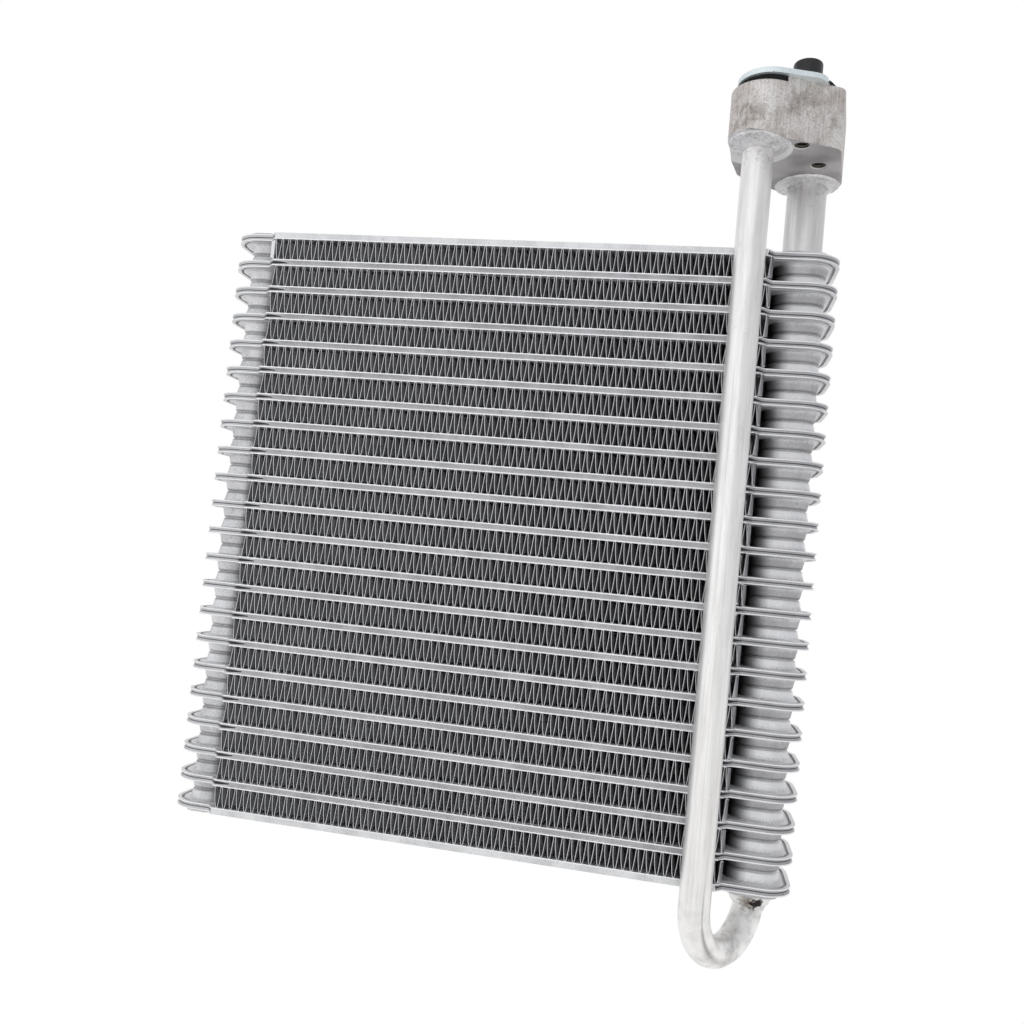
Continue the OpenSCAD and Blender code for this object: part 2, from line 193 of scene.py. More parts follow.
def brazed_aluminium(name, dull, bright, grain_mm=0.6, edge_mm=0.12, wear=0.0, pits=0.5, paint=None):
    """Furnace-brazed clad sheet: satin, clouded by a thin matt film of flux, with dark specks and
    shallow pits. Its outer edges look rounded to edge_mm, and rubbed bright as far as wear says.
    The real grain is finer than a pixel, so it is drawn at grain_mm."""
    cloud_mm, speck_mm, pit_mm = 9, 1.3, 0.07
    material, tree, mm = new_material(name)
    clouds = add(tree, "ShaderNodeTexNoise", {"Vector": mm, "Scale": 1 / cloud_mm, "Detail": 4.0})
    grain = add(tree, "ShaderNodeTexNoise", {"Vector": mm, "Scale": 1 / grain_mm, "Detail": 2.0})
    specks = add(tree, "ShaderNodeTexNoise", {"Vector": mm, "Scale": 1 / speck_mm, "Detail": 3.0})
    cloudy = calc(tree, "ADD", ramp(tree, clouds.outputs[0], 0.35, 0.65, 0.0, 0.6),
                  ramp(tree, grain.outputs[0], 0.3, 0.7, -0.2, 0.6))
    tone = tint(tree, cloudy, dull, bright)
    tone = tint(tree, ramp(tree, specks.outputs[0], 0.64, 0.74, 0.0, 0.5), tone, "#7C7B78")
    if paint:
        tone = paint(tree, mm, tone)
    rough = ramp(tree, grain.outputs[0], 0.3, 0.7, 0.46, 0.64)
    edge = add(tree, "ShaderNodeBevel", {"Radius": edge_mm * MM}, samples=4).outputs[0]
    flat = add(tree, "ShaderNodeNewGeometry").outputs["Normal"]
    facing = add(tree, "ShaderNodeVectorMath", {0: flat, 1: edge}, operation="DOT_PRODUCT").outputs["Value"]
    tone = tint(tree, ramp(tree, facing, 0.99, 0.85, 0.0, wear), tone, "#FAFAFC")
    bump = add(tree, "ShaderNodeBump", {"Height": grain.outputs[0], "Strength": pits,
                                        "Distance": pit_mm * MM, "Normal": edge})
    shader = add(tree, "ShaderNodeBsdfPrincipled", {"Base Color": tone, "Metallic": 0.8,
                                                    "Roughness": rough, "Normal": bump.outputs[0]})
    add(tree, "ShaderNodeOutputMaterial", {"Surface": shader.outputs[0]})
    return material


def finish_node(node, material):
    """Gives a solid of the frame its finish."""
    node.data.materials.clear()
    node.data.materials.append(material)


plate_metal = brazed_aluminium("brazed_plate_aluminium", "#C4C4C5", "#EFEFF0", edge_mm=0.22, wear=0.7,
                               pits=0.9, paint=plate_paint)
for name in TUBES:
    finish_node(nodes[name], plate_metal)

# Edge braze. Filler metal that ran out between the lips of each pair round both tanks and set as
# a bead just behind the edge. It starts in the slot where the seam runs back from the front to a
# tank. The bead's section is a list of depth behind the edge and height over the seam.

TANK_HALF_MM = 20.15
TANK_R_MM = 12.0
STEP_MM = 2.7
BEAD_SECTION_MM = [(0.0, -0.94), (0.16, -0.5), (0.2, -0.22), (0.55, -0.1),
                   (0.55, 0.1), (0.2, 0.22), (0.16, 0.5), (0.0, 0.94)]
ARC_STEPS = 12
EDGE_LOW_MM, EDGE_HIGH_MM = (corner[0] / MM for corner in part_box("tube_01"))


def bead_path(side, inset, beside_sheet):
    """Points of the plate's edge, pulled in, from the front of the fins round to the rear. The bead
    beside an end sheet starts where the sheet ends."""
    reach = (EDGE_HIGH_MM if side > 0 else -EDGE_LOW_MM) - inset
    lip = LIP_MM - inset
    edge = TANK_HALF_MM - inset
    radius = TANK_R_MM - inset
    slot = FIN_END_MM - SEAM_RUN_MM
    if beside_sheet:
        half = [(FIN_END_MM + 0.5, -lip + 0.6)]
    else:
        half = [(slot - 1, -lip + 0.8), (slot + 1, -lip + 0.1), (FIN_END_MM - 3, -lip),
                (FIN_END_MM - 0.3, -lip)]
    half.append((FIN_END_MM + STEP_MM, -edge))
    for k in range(ARC_STEPS + 1):
        turn = math.radians(90 * k / ARC_STEPS - 90)
        half.append((reach - radius + radius * math.cos(turn), -edge + radius + radius * math.sin(turn)))
    return [(side * x, y) for x, y in half + [(x, -y) for x, y in reversed(half)]]


def edge_beads(name, side, inset):
    """Hollow beads for every seam at one end, the two end seams included."""
    verts = []
    faces = []
    count = len(BEAD_SECTION_MM)
    for row in range(-1, len(TUBES) + 1):
        seam_z = PAIR_MM - row * PITCH_MM
        beside_sheet = row in (-1, len(TUBES))
        paths = [bead_path(side, inset + depth, beside_sheet) for depth, height in BEAD_SECTION_MM]
        base = len(verts)
        for stop in zip(*paths):
            for (x, y), (depth, height) in zip(stop, BEAD_SECTION_MM):
                verts.append((x * MM, y * MM, (seam_z + height) * MM))
        for k in range(len(paths[0]) - 1):
            for j in range(count - 1):
                a = base + k * count + j
                b = a + count
                faces.append((a, b, b + 1, a + 1))
    mesh = bpy.data.meshes.new(name)
    mesh.from_pydata(verts, [], faces)
    mesh.update()
    return mesh


def bead_paint(tree, mm, tone):
    """The bead is thin in the middle, and beside the end of the fins it has a dark slit of painted shade.
    """
    x, y, z = add(tree, "ShaderNodeSeparateXYZ", {0: mm}).outputs
    side = calc(tree, "ABSOLUTE", x)
    off = calc(tree, "ABSOLUTE", height_in_pair(tree, z))
    opening = ramp(tree, side, FIN_END_MM - SEAM_RUN_MM - 0.5, FIN_END_MM - 1.5)
    closing = ramp(tree, side, FIN_END_MM - 0.5, FIN_END_MM + 2.5, 0.62, 0.12)
    half = product(tree, calc(tree, "SQRT", opening), closing)
    # Painted shade: a dark slit along the bead where the seam opens beside the fins.
    painted_slit_shade = ramp(tree, calc(tree, "SUBTRACT", off, half), -0.14, 0.14, 0.9, 0.0)
    return tint(tree, painted_slit_shade, tone, "#2A2A2C")


def add_piece(name, mesh, materials, stands_for=None):
    """Adds a piece to the one rigid body; it may stand for a solid of the frame."""
    piece = bpy.data.objects.new(name, mesh)
    bpy.context.scene.collection.objects.link(piece)
    for material in materials:
        mesh.materials.append(material)
    if stands_for:
        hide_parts(stands_for)
    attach(piece, "root")


# The filler is satin and darker than the plates. The right tank's copy is darker again, as painted shade.
for side, end, inset, dull, bright in ((-1, "left", 0.22, "#C0C0C2", "#D2D2D3"),
                                       (1, "right", 0.4, "#ACACAF", "#C2C2C4")):
    bead_metal = brazed_aluminium(f"furnace_braze_filler_{end}", dull, bright, edge_mm=0.05,
                                  paint=bead_paint)
    name = f"{end}_edge_braze"
    add_piece(name, edge_beads(name, side, inset), [bead_metal])

# Fins. Each is one strip of thin rolled foil, folded into 65 waves between two plate pairs and
# cut into louvres on every leg but the last. The crests are brazed to the plates. The foil is
# 0.12 mm thick, and its cut front and rear edges are drawn at 0.2 mm so that they show.

FINS = [f"fin_{i:02d}" for i in range(1, 22)]
WAVES = 65
FOIL = 0.2 * MM

# Along the depth: RIM is the cut edge, BAND the foil before the louvres, RIB the plain middle.
RIM = 0.5 * MM
BAND = 1.3 * MM
RIB = 2.0 * MM
LOUVRE_PITCH = 1.45 * MM
LOUVRE_TILT = math.radians(30)

# A crest is a list of x from its middle and depth under it. A leg bows at shares of its height,
# and the waves lean by up to SKEW at the rear, most at x = SKEW_PEAK.
CREST_HALF = 0.5 * MM
CREST_MARGIN = 1.1 * MM
CREST_PATH_MM = [(-0.40, 0.46), (-0.30, 0.16), (-0.12, 0.10), (0.12, 0.10), (0.30, 0.16), (0.40, 0.46)]
CREST_DRIFT_MM = 0.11
BOW = 0.26 * MM
BOW_UP, BOW_DOWN = 1.0, -0.25
BOW_PATH = [(0.2, 0.7), (0.5, 1.0), (0.8, 0.7)]
SKEW = 5.0 * MM
SKEW_PEAK = 84 * MM

# The strip ends in an upright leg at the right, folded over at the front, and in a tab behind
# that is a near-black sheet of painted shade in the gap beside the tank. The top strip also has a
# bright burr at its left end.
END_CLEAR = 0.3 * MM
END_INSET = 0.05 * MM
FOLD_OVER, FOLD_SLANT = 1.5 * MM, 0.3 * MM
FOLD_FRONT, FOLD_REAR = 0.6 * MM, 1.6 * MM
TAB_OUT, TAB_IN = 3.0 * MM, 5.5 * MM
BURR_OUT, BURR_BACK = 2.0 * MM, 0.8 * MM
SHINY, CUT, SHADE_TAB = range(3)


def fin_mesh(name, low, high, seed):
    """Folded foil with thicker cut rims, crest strips along the depth and louvred legs."""
    draw = random.Random(seed)
    start = seed % 2
    last = 2 * WAVES
    step = (high.x - low.x - 2 * CREST_HALF) / last
    crests = []
    for k in range(last + 1):
        drift = 0.0 if k in (0, last) else draw.uniform(-CREST_DRIFT_MM, CREST_DRIFT_MM) * MM
        crests.append((low.x + CREST_HALF + k * step + drift, (k + start) % 2 == 0))
    bows = [draw.uniform(0.6, 1.2) * BOW * (BOW_UP if up else BOW_DOWN) for x, up in crests]
    verts = []
    faces = []
    finishes = []

    def lean(x, y):
        """The waves run askew: the rear is pushed to the right, though not at the strip's ends."""
        span = (x - low.x) / (SKEW_PEAK - low.x) if x < SKEW_PEAK else (high.x - x) / (high.x - SKEW_PEAK)
        return x + SKEW * max(span, 0.0) * (y - low.y) / (high.y - low.y)

    def sheet(profile, y0, y1):
        """A thin sheet along the depth over a profile of (x, z) points."""
        base = len(verts)
        for x, z in profile:
            verts.extend([(lean(x, y0), y0, z), (lean(x, y1), y1, z)])
        for i in range(len(profile) - 1):
            a = base + 2 * i
            faces.append((a, a + 1, a + 3, a + 2))
            finishes.append(SHINY)

    def thick_sheet(profile, y0, y1):
        """The same with a cut edge at y0 and two sides, as thick as the drawn foil."""
        base = len(verts)
        for i, (x, z) in enumerate(profile):
            xa, za = profile[max(i - 1, 0)]
            xb, zb = profile[min(i + 1, len(profile) - 1)]
            along = Vector((xb - xa, zb - za)).normalized() * FOIL / 2
            for y in (y0, y1):
                verts.append((lean(x, y) - along.y, y, z + along.x))
                verts.append((lean(x, y) + along.y, y, z - along.x))
        for i in range(len(profile) - 1):
            a = base + 4 * i
            b = a + 4
            faces.extend([(a, b, b + 1, a + 1), (a, a + 2, b + 2, b), (a + 1, b + 1, b + 3, a + 3)])
            finishes.extend([CUT, SHINY, SHINY])

    def crest_points(k):
        """The outline of crest k, which hangs from the plate above or stands on the one below."""
        x, up = crests[k]
        points = [(x + dx * MM, dz * MM) for dx, dz in CREST_PATH_MM]
        return [(px, high.z - pz if up else low.z + pz) for px, pz in points]

    def leg_point(k, z):
        """The place at height z on the straight leg from crest k to the next."""
        a = crest_points(k)[-1]
        b = crest_points(k + 1)[0]
        return (a[0] + (b[0] - a[0]) * (z - a[1]) / (b[1] - a[1]), z)

    def margin(k):
        """Height at which the plain strip at crest k gives way to the louvres."""
        return high.z - CREST_MARGIN if crests[k][1] else low.z + CREST_MARGIN

    path = []
    for k in range(last + 1):
        path.extend(crest_points(k))
        if k < last:
            z_from = crest_points(k)[-1][1]
            z_to = crest_points(k + 1)[0][1]
            for share, bent in BOW_PATH:
                x, z = leg_point(k, z_from + (z_to - z_from) * share)
                path.append((x - bows[k] * bent, z))
    thick_sheet(path, low.y, low.y + RIM)
    thick_sheet(path, high.y, high.y - RIM)
    sheet(path, low.y + RIM, low.y + BAND)
    sheet(path, high.y - BAND, high.y - RIM)
    y_from = low.y + BAND
    y_to = high.y - BAND
    for k in range(last + 1):
        profile = crest_points(k)
        if k > 0:
            profile.insert(0, leg_point(k - 1, margin(k)))
        if k < last:
            profile.append(leg_point(k, margin(k)))
        sheet(profile, y_from, y_to)

    louvres = int((y_to - y_from - RIB) / 2 / LOUVRE_PITCH)
    half_chord = Vector((math.sin(LOUVRE_TILT), math.cos(LOUVRE_TILT))) * LOUVRE_PITCH / 2
    for k in range(last):
        ends = [leg_point(k, margin(k)), leg_point(k, margin(k + 1))]
        if k == last - 1:
            sheet(ends, y_from, y_to)
            continue
        sheet(ends, y_from + louvres * LOUVRE_PITCH, y_to - louvres * LOUVRE_PITCH)
        for turn, begin in ((1, y_from), (-1, y_to - louvres * LOUVRE_PITCH)):
            for n in range(louvres):
                y = begin + (n + 0.5) * LOUVRE_PITCH
                dx, dy = half_chord.x * turn, half_chord.y
                base = len(verts)
                for x, z in ends:
                    verts.extend([(lean(x, y) - dx, y - dy, z), (lean(x, y) + dx, y + dy, z)])
                faces.append((base, base + 1, base + 3, base + 2))
                finishes.append(SHINY)
    waves_end = len(verts)

    def tab(corners, finish):
        """A flat bit of foil beyond the waves."""
        base = len(verts)
        verts.extend(corners)
        faces.append((base, base + 1, base + 2, base + 3))
        finishes.append(finish)

    z0, z1 = low.z + END_CLEAR, high.z - END_CLEAR
    x = high.x - END_INSET
    tab([(x, low.y, z0), (x, high.y, z0), (x, high.y, z1), (x, low.y, z1)], SHINY)
    y0, y1 = low.y + FOLD_FRONT, low.y + FOLD_REAR
    tab([(x - FOLD_OVER, y0, z0), (x, y1, z0), (x, y1, z1), (x - FOLD_OVER + FOLD_SLANT, y0, z1)], CUT)
    y = high.y - TAB_IN
    # Painted shade: a near-black tab behind the end, in the gap beside the tank.
    tab([(x, y, z0), (x + TAB_OUT, y, z0), (x + TAB_OUT, y, z1), (x, y, z1)], SHADE_TAB)
    if seed == 0:
        x, y = low.x + 0.2 * MM, low.y + 0.3 * MM
        tip_x, tip_y = x - BURR_OUT, y + BURR_BACK
        tab([(x, y, z0), (x, y, z1), (tip_x, tip_y, z1 - 0.4 * MM), (tip_x, tip_y, z0 + 0.6 * MM)], CUT)
    mesh = bpy.data.meshes.new(name)
    mesh.from_pydata(verts, [], faces)
    for v in mesh.vertices[:waves_end]:
        v.co.x = min(max(v.co.x, low.x), high.x)
    mesh.polygons.foreach_set("material_index", finishes)
    mesh.update()
    return mesh


# The furnace leaves rolled foil satin, and it looks darker than the plates between its waves. Its
# sheared edges are bright, so they draw the waves as light lines.
# The third finish is near black: painted shade for the tab behind the end of each strip.
foil_metals = [brazed_aluminium("folded_foil_aluminium", "#B0B1B3", "#CACBCD", edge_mm=0.02),
               brazed_aluminium("sheared_foil_edge", "#DCDCDE", "#EEEEEF", edge_mm=0.02),
               brazed_aluminium("painted_shade_foil", "#2A2A2C", "#3C3C3F", edge_mm=0.02)]
for i, name in enumerate(FINS):
    low, high = (Vector(c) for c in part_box(name))
    add_piece(f"louvred_{name}", fin_mesh(name, low, high, i), foil_metals, name)

# Ends. Single stamped plates and flat sheets close the stack, and domed covers close both tanks.
# The same clad aluminium as the plates, brazed in the same furnace. The neck under the right tank
# was heated once more with a torch, which left burnt flux at its front; below NECK_TOP_MM it is
# painted whiter.

NECK_TOP_MM = -2.0
RAGGED_MM = 1.4
BURNS = [((118.4, -7.6, -6.4), 3.0, 1.5, "#8F857B", 0.85), ((121.3, -7.3, -6.4), 2.5, 0.5, "#2B2725", 1.0)]


def burnt_flux(tree, mm, tone):
    """A brown and a black patch of burnt flux, each with its place, size, soft edge and strength."""
    patches = add(tree, "ShaderNodeTexNoise", {"Vector": mm, "Scale": 1 / RAGGED_MM, "Detail": 4.0})
    for centre, size, soft, code, strength in BURNS:
        away = add(tree, "ShaderNodeVectorMath", {0: mm, 1: centre}, operation="DISTANCE").outputs["Value"]
        ragged = calc(tree, "ADD", away, ramp(tree, patches.outputs[0], 0.3, 0.7, 1.3, -1.3))
        tone = tint(tree, ramp(tree, ragged, size - soft, size + soft, strength, 0.0), tone, code)
    return tone


def end_paint(tree, mm, tone):
    """The plates' paint, with the neck's whiter surface and its burnt flux over it."""
    tone = plate_paint(tree, mm, tone)
    height = add(tree, "ShaderNodeSeparateXYZ", {0: mm}).outputs["Z"]
    tone = tint(tree, ramp(tree, height, NECK_TOP_MM, NECK_TOP_MM - 0.8, 0.0, 0.7), tone, "#EFEEEC")
    return burnt_flux(tree, mm, tone)


end_metal = brazed_aluminium("brazed_end_aluminium", "#C6C6C7", "#F0F0F1", edge_mm=0.22, wear=0.7,
                             pits=0.9, paint=end_paint)
for name in ("top_end_plate", "bottom_end_plate", "top_left_cover", "top_right_cover",
             "bottom_left_cover", "bottom_right_cover"):
    finish_node(nodes[name], end_metal)
sheet_metal = brazed_aluminium("brazed_sheet_aluminium", "#CECFD0", "#EFF0F0", wear=0.7, pits=0.9)
for name in ("top_end_sheet", "bottom_end_sheet"):
    finish_node(nodes[name], sheet_metal)

# Pipes. Drawn aluminium tube, bent cold and brazed into the covers and the block. Drawing leaves
# fine lines along the tube, handling leaves scuffs, and the torch leaves grey near the block.

LIQUID_R_MM = 6.0
SUCTION_R_MM = 8.0
BEND_R_MM = 19.8
BEND_TURN = math.radians(55.9)
BEND_TOP_MM = -4.2
REFLECTION_OUT_MM = 2.63
BLOCK_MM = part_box("block_fitting")[0][2] / MM
liquid_axis = Vector(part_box("liquid_pipe")[0]) + Vector((LIQUID_R_MM, LIQUID_R_MM, 0)) * MM
PORT_X_MM, PORT_Y_MM = liquid_axis.x / MM, liquid_axis.y / MM


def bend_reflection_and_scuffs(tree, mm, tone):
    """A dark line of painted reflection and shade along the front leg and round the bend, and the
    scuffs on the outside of the bend. Places are taken from the middle of the half circle: out
    towards the rear leg, front across the bend, and height over the ends of the straight legs."""
    smear_mm = 7
    heading = (math.cos(BEND_TURN), math.sin(BEND_TURN), 0.0)
    across = (math.sin(BEND_TURN), -math.cos(BEND_TURN), 0.0)
    middle_of_bend = (PORT_X_MM + BEND_R_MM * heading[0], PORT_Y_MM + BEND_R_MM * heading[1], BEND_TOP_MM)
    place = add(tree, "ShaderNodeVectorMath", {0: mm, 1: middle_of_bend}, operation="SUBTRACT").outputs[0]
    out, front = (add(tree, "ShaderNodeVectorMath", {0: place, 1: way},
                      operation="DOT_PRODUCT").outputs["Value"] for way in (heading, across))
    height = add(tree, "ShaderNodeSeparateXYZ", {0: place}).outputs["Z"]
    below = calc(tree, "MINIMUM", height, 0.0)
    radius = calc(tree, "SQRT", calc(tree, "ADD", product(tree, out, out), product(tree, below, below)))
    # Painted reflection and shade: a dark line just outside the bend's middle radius, wider and softer
    # lower down.
    off = calc(tree, "ABSOLUTE", calc(tree, "SUBTRACT", radius, BEND_R_MM + REFLECTION_OUT_MM))
    width = ramp(tree, height, -4.0, -20.0, 0.1, 1.0)
    soft = ramp(tree, height, -4.0, -20.0, 0.4, 1.5)
    reflection_line = calc(tree, "DIVIDE", calc(tree, "SUBTRACT", off, width), soft)
    reflection_line = add(tree, "ShaderNodeMapRange", {0: reflection_line, 1: -1.0, 2: 1.0, 3: 0.75, 4: 0.0},
               interpolation_type="SMOOTHSTEP").outputs[0]
    reflection_line = product(tree, reflection_line, ramp(tree, front, 3.0, 4.0), ramp(tree, out, 4.0, -3.0),
                   ramp(tree, height, 14.0, 3.0), ramp(tree, height, -24.0, -14.0, 0.3, 1.0))
    smears = add(tree, "ShaderNodeTexNoise", {"Vector": mm, "Scale": 1 / smear_mm, "Detail": 5.0,
                                              "Roughness": 0.65})
    smear = product(tree, ramp(tree, smears.outputs[0], 0.44, 0.68, 0.0, 0.75),
                    ramp(tree, height, 16.0, -4.0), ramp(tree, out, -20.0, -4.0, 0.35, 1.0))
    tone = tint(tree, smear, tone, "#A9A7A4")
    return tint(tree, reflection_line, tone, "#5E5C5A")


def drawn_aluminium(name, bright, worn, marks=()):
    """Drawn tube: bright and smooth, with lines and light scuffs along its straight length, and
    small nicks that turn grey near the torch. The lines are finer than a pixel in truth, so they
    are drawn 0.7 mm apart."""
    line_mm, scuff_mm, nick_mm = (0.7, 0.7, 70), (3, 3, 30), 2.4
    torch_reach_mm, torch_full_mm = 16, 3
    material, tree, mm = new_material(name)
    along = add(tree, "ShaderNodeMapping", {"Vector": mm, "Scale": [1 / size for size in line_mm]})
    drawn = add(tree, "ShaderNodeTexNoise", {"Vector": along.outputs[0], "Scale": 1.0, "Detail": 3.0})
    wide = add(tree, "ShaderNodeMapping", {"Vector": mm, "Scale": [1 / size for size in scuff_mm]})
    scuffs = add(tree, "ShaderNodeTexNoise", {"Vector": wide.outputs[0], "Scale": 1.0, "Detail": 6.0,
                                              "Roughness": 0.6})
    nicks = add(tree, "ShaderNodeTexNoise", {"Vector": mm, "Scale": 1 / nick_mm, "Detail": 5.0,
                                             "Roughness": 0.7})
    height = add(tree, "ShaderNodeSeparateXYZ", {0: mm}).outputs["Z"]
    straight = ramp(tree, height, -10.0, 0.0)
    streaked = calc(tree, "ADD", ramp(tree, scuffs.outputs[0], 0.45, 0.7, 0.0, 0.7),
                    ramp(tree, drawn.outputs[0], 0.45, 0.7, 0.0, 0.4))
    tone = tint(tree, product(tree, streaked, straight), bright, worn)
    for mark in marks:
        tone = mark(tree, mm, tone)
    torched = ramp(tree, height, BLOCK_MM - torch_reach_mm, BLOCK_MM - torch_full_mm)
    reach = calc(tree, "SUBTRACT", nicks.outputs[0], ramp(tree, torched, 0.0, 1.0, 0.64, 0.5))
    tone = tint(tree, ramp(tree, reach, 0.0, 0.1, 0.0, 0.4), tone, "#9A9896")
    rough = ramp(tree, drawn.outputs[0], 0.3, 0.7, 0.38, 0.5)
    bump = add(tree, "ShaderNodeBump", {"Height": product(tree, drawn.outputs[0], straight),
                                        "Strength": 0.2, "Distance": 0.03 * MM})
    shader = add(tree, "ShaderNodeBsdfPrincipled", {"Base Color": tone, "Metallic": 0.8,
                                                    "Roughness": rough, "Normal": bump.outputs[0]})
    add(tree, "ShaderNodeOutputMaterial", {"Surface": shader.outputs[0]})
    return material


finish_node(nodes["liquid_pipe"], drawn_aluminium("drawn_liquid_pipe_aluminium", "#F8F7F5", "#DDDBD8",
                                                  [bend_reflection_and_scuffs, burnt_flux]))
finish_node(nodes["suction_pipe"], drawn_aluminium("drawn_suction_pipe_aluminium", "#E6E5E4", "#CFCDCA"))

# Block. A slice of extruded aluminium bar with drilled ports and tapped holes. Its sides keep the
# die lines of the extrusion and brown-grey stains; both pipes are torch-brazed into its underside.
# Places on the underside are taken from the liquid pipe's axis. Stains are x, y, z and size.

TAPPED_HOLES_MM = [(15.8, -5.7), (24.1, 12.1)]
HOLE_R_MM = 3.0
THREAD_MM = 1.0
DISH_AT_MM = (-1.5, -2.6)
DISH_R_MM = 14.3
STAINS_MM = [(111.8, -46.0, 299.0, 7.0), (96.8, -46.5, 294.5, 4.5), (88.5, -43.5, 291.5, 5.0),
             (125.5, -40.0, 293.0, 4.0)]


def extruded_aluminium(name, bright, stained, dark, milled):
    """Raw extrusion: matt, with die lines up its sides, stained in patches by handling and heat.
    The underside is sawn and milled, so it is plainer and greyer. Its dish is painted light, partly
    braze spread into it and partly painted light in its shaded recess, and its tapped holes carry
    painted shade with rings of painted light and shade for the thread. The die lines are drawn
    0.7 mm apart so that they show."""
    die_mm, stain_mm, smoke_mm, grain_mm = (0.7, 0.7, 26), (7, 7, 9), 14, 0.8
    grain_deep_mm, edge_mm = 0.08, 0.35
    material, tree, mm = new_material(name)
    along = add(tree, "ShaderNodeMapping", {"Vector": mm, "Scale": [1 / size for size in die_mm]})
    die = add(tree, "ShaderNodeTexNoise", {"Vector": along.outputs[0], "Scale": 1.0, "Detail": 4.0,
                                           "Roughness": 0.6})
    wide = add(tree, "ShaderNodeMapping", {"Vector": mm, "Scale": [1 / size for size in stain_mm]})
    stains = add(tree, "ShaderNodeTexNoise", {"Vector": wide.outputs[0], "Scale": 1.0, "Detail": 8.0,
                                              "Roughness": 0.74})
    smoke = add(tree, "ShaderNodeTexNoise", {"Vector": mm, "Scale": 1 / smoke_mm, "Detail": 1.0})
    grain = add(tree, "ShaderNodeTexNoise", {"Vector": mm, "Scale": 1 / grain_mm, "Detail": 4.0,
                                             "Roughness": 0.75})
    tone = tint(tree, ramp(tree, stains.outputs[0], 0.4, 0.62), bright, stained)
    for x, y, z, size in STAINS_MM:
        near = add(tree, "ShaderNodeVectorMath", {0: mm, 1: (x, y, z)}, operation="DISTANCE")
        ragged = calc(tree, "ADD", calc(tree, "DIVIDE", near.outputs["Value"], size),
                      ramp(tree, stains.outputs[0], 0.3, 0.7, 1.3, -1.0))
        tone = tint(tree, ramp(tree, ragged, 0.2, 1.2, 0.6, 0.0), tone, dark)
    tone = tint(tree, ramp(tree, stains.outputs[0], 0.6, 0.72, 0.0, 0.4), tone, dark)
    tone = tint(tree, ramp(tree, die.outputs[0], 0.5, 0.68, 0.0, 0.3), tone, dark)
    tone = tint(tree, ramp(tree, smoke.outputs[0], 0.5, 0.66, 0.0, 0.5), tone, "#F0EEEC")
    tone = tint(tree, ramp(tree, grain.outputs[0], 0.5, 0.72, 0.0, 0.75), tone, dark)

    facing = add(tree, "ShaderNodeNewGeometry").outputs["Normal"]
    upward = add(tree, "ShaderNodeSeparateXYZ", {0: facing}).outputs["Z"]
    smudge = tint(tree, ramp(tree, smoke.outputs[0], 0.45, 0.7, 0.0, 0.8), milled, "#8F8B8B")
    smudge = tint(tree, ramp(tree, grain.outputs[0], 0.5, 0.75, 0.0, 0.4), smudge, "#7D7878")
    tone = tint(tree, ramp(tree, calc(tree, "ABSOLUTE", upward), 0.3, 0.6), tone, smudge)
    plan = add(tree, "ShaderNodeVectorMath", {0: mm, 1: (1.0, 1.0, 0.0)}, operation="MULTIPLY").outputs[0]

    def away_from(x, y):
        point = (PORT_X_MM + x, PORT_Y_MM + y, 0.0)
        return add(tree, "ShaderNodeVectorMath", {0: plan, 1: point}, operation="DISTANCE").outputs["Value"]

    # The dish round the liquid pipe is painted light, partly braze and partly painted light in its
    # shaded recess; the tapped holes get painted shade, with rings of painted light and shade for
    # their thread.
    dish_braze_and_light = product(tree, ramp(tree, away_from(*DISH_AT_MM), DISH_R_MM - 0.3, DISH_R_MM + 0.3, 1.0, 0.0),
                   ramp(tree, upward, -0.3, -0.6))
    tone = tint(tree, dish_braze_and_light, tone, "#F4F3F3")
    depth = calc(tree, "SUBTRACT", add(tree, "ShaderNodeSeparateXYZ", {0: mm}).outputs["Z"], BLOCK_MM)
    thread = calc(tree, "SINE", product(tree, depth, 2 * math.pi / THREAD_MM))
    thread = product(tree, ramp(tree, thread, -0.6, 0.6), ramp(tree, depth, 0.2, 3.0, 1.0, 0.0))
    hole_shade_and_thread = tint(tree, thread, "#3B3733", "#E0DAD2")
    # Painted shade inside each tapped hole, with light and dark rings standing for the thread's lit and
    # shaded flanks.
    for x, y in TAPPED_HOLES_MM:
        hole = ramp(tree, away_from(x, y), HOLE_R_MM - 0.1, HOLE_R_MM + 0.1, 1.0, 0.0)
        tone = tint(tree, hole, tone, hole_shade_and_thread)

    rough = ramp(tree, die.outputs[0], 0.3, 0.7, 0.5, 0.7)
    edge = add(tree, "ShaderNodeBevel", {"Radius": edge_mm * MM}, samples=4)
    bump = add(tree, "ShaderNodeBump", {"Height": grain.outputs[0], "Strength": 0.6,
                                        "Distance": grain_deep_mm * MM, "Normal": edge.outputs[0]})
    shader = add(tree, "ShaderNodeBsdfPrincipled", {"Base Color": tone, "Metallic": 0.7,
                                                    "Roughness": rough, "Normal": bump.outputs[0]})
    add(tree, "ShaderNodeOutputMaterial", {"Surface": shader.outputs[0]})
    return material


finish_node(nodes["block_fitting"], extruded_aluminium("extruded_block_aluminium", "#E4E0DD", "#C2BAB2",
                                                       "#857B73", "#BEBBBC"))

# Braze rings. Filler metal from the torch that wicked round each pipe where it enters the block
# and the neck: rough, matt and lighter than the block. In the block one ring fills the dish of the
# liquid pipe as an off-centre pool, and the other lies on the flat face up to its rounded end.

SEGMENTS = 96
HUG_MM, NECK_HUG_MM = 0.05, 0.04
BLOCK_END_AT_MM = (-1.2, -4.3)
BLOCK_END_R_MM = 13.7
DISH_DEEP_MM = 3.4
POOL_AT_MM = (0.2, -2.0)
NECK_RIM_MM = -7.9


